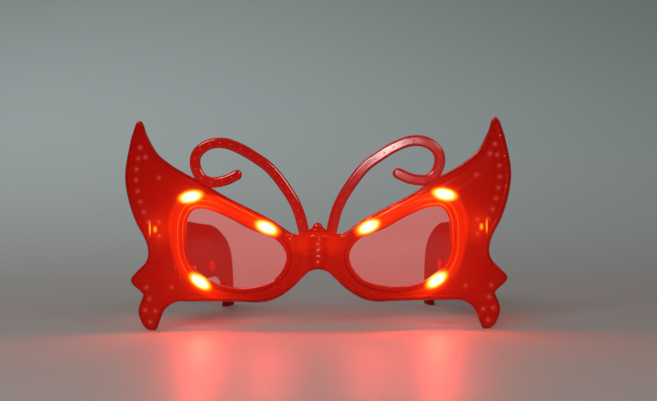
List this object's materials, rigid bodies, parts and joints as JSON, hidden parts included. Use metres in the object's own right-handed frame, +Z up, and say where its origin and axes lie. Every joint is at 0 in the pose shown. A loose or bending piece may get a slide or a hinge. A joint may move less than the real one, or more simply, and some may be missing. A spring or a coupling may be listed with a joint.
{
  "type": "party glasses",
  "caption": "Butterfly-shaped party glasses with clear lenses, curled feelers, flashing lamps round the rims and folding arms that carry the cells, flasher and push buttons",
  "frame": {"origin": "on the floor, in the middle of the space the glasses stand in", "axes": "X across the front, right is +X; Y from the front back to the arm tips; Z up"},
  "size_m": [0.161, 0.1271, 0.0878],
  "materials": {
    "shell": "glossy translucent",
    "cover": "glossy translucent",
    "button": "glossy",
    "lens": "clear polished",
    "lamp": "clear",
    "lead": "satin",
    "steel": "plated",
    "cell": "satin",
    "contact": "plated",
    "board": "coated",
    "black": "matte"
  },
  "bodies": {
    "front": {"front_frame": "shell", "lens_left": "lens", "rear_cover_left": "cover", "frame_wire_left": "lead", "led_left_inner": "lamp", "led_left_top": "lamp", "led_left_bottom": "lamp", "hinge_pin_left": "steel", "lens_right": "lens", "rear_cover_right": "cover", "frame_wire_right": "lead", "led_right_inner": "lamp", "led_right_top": "lamp", "led_right_bottom": "lamp", "hinge_pin_right": "steel"},
    "arm_left": {"temple_left": "shell", "temple_wire_left": "lead", "battery_cover_left": "cover", "cover_screw_left": "steel", "button_cell_left_1": "cell", "button_cell_left_2": "cell", "button_cell_left_3": "cell", "contact_positive_left": "contact", "contact_negative_left": "contact", "contact_bridge_outer_left": "contact", "contact_bridge_inner_left": "contact", "circuit_board_left": "board", "switch_left": "black", "flasher_chip_left": "black"},
    "arm_right": {"temple_right": "shell", "temple_wire_right": "lead", "battery_cover_right": "cover", "cover_screw_right": "steel", "button_cell_right_1": "cell", "button_cell_right_2": "cell", "button_cell_right_3": "cell", "contact_positive_right": "contact", "contact_negative_right": "contact", "contact_bridge_outer_right": "contact", "contact_bridge_inner_right": "contact", "circuit_board_right": "board", "switch_right": "black", "flasher_chip_right": "black"},
    "button_left": {"push_button_left": "button"},
    "button_right": {"push_button_right": "button"}
  },
  "joints": [
    {"name": "fold_left", "type": "hinge", "parent": "front", "child": "arm_left", "pos_m": [-0.06922, -0.05166, 0.0427], "axis": [0, 0, -1], "range_deg": [0, 80]},
    {"name": "fold_right", "type": "hinge", "parent": "front", "child": "arm_right", "pos_m": [0.06922, -0.05166, 0.0427], "axis": [0, 0, 1], "range_deg": [0, 68]},
    {"name": "press_left", "type": "slide", "parent": "arm_left", "child": "button_left", "axis": [-0.986, 0.1668, 0], "range_m": [0, 0.0008], "stiffness_N_per_m": 1200},
    {"name": "press_right", "type": "slide", "parent": "arm_right", "child": "button_right", "axis": [0.986, 0.1668, 0], "range_m": [0, 0.0008], "stiffness_N_per_m": 1200}
  ]
}
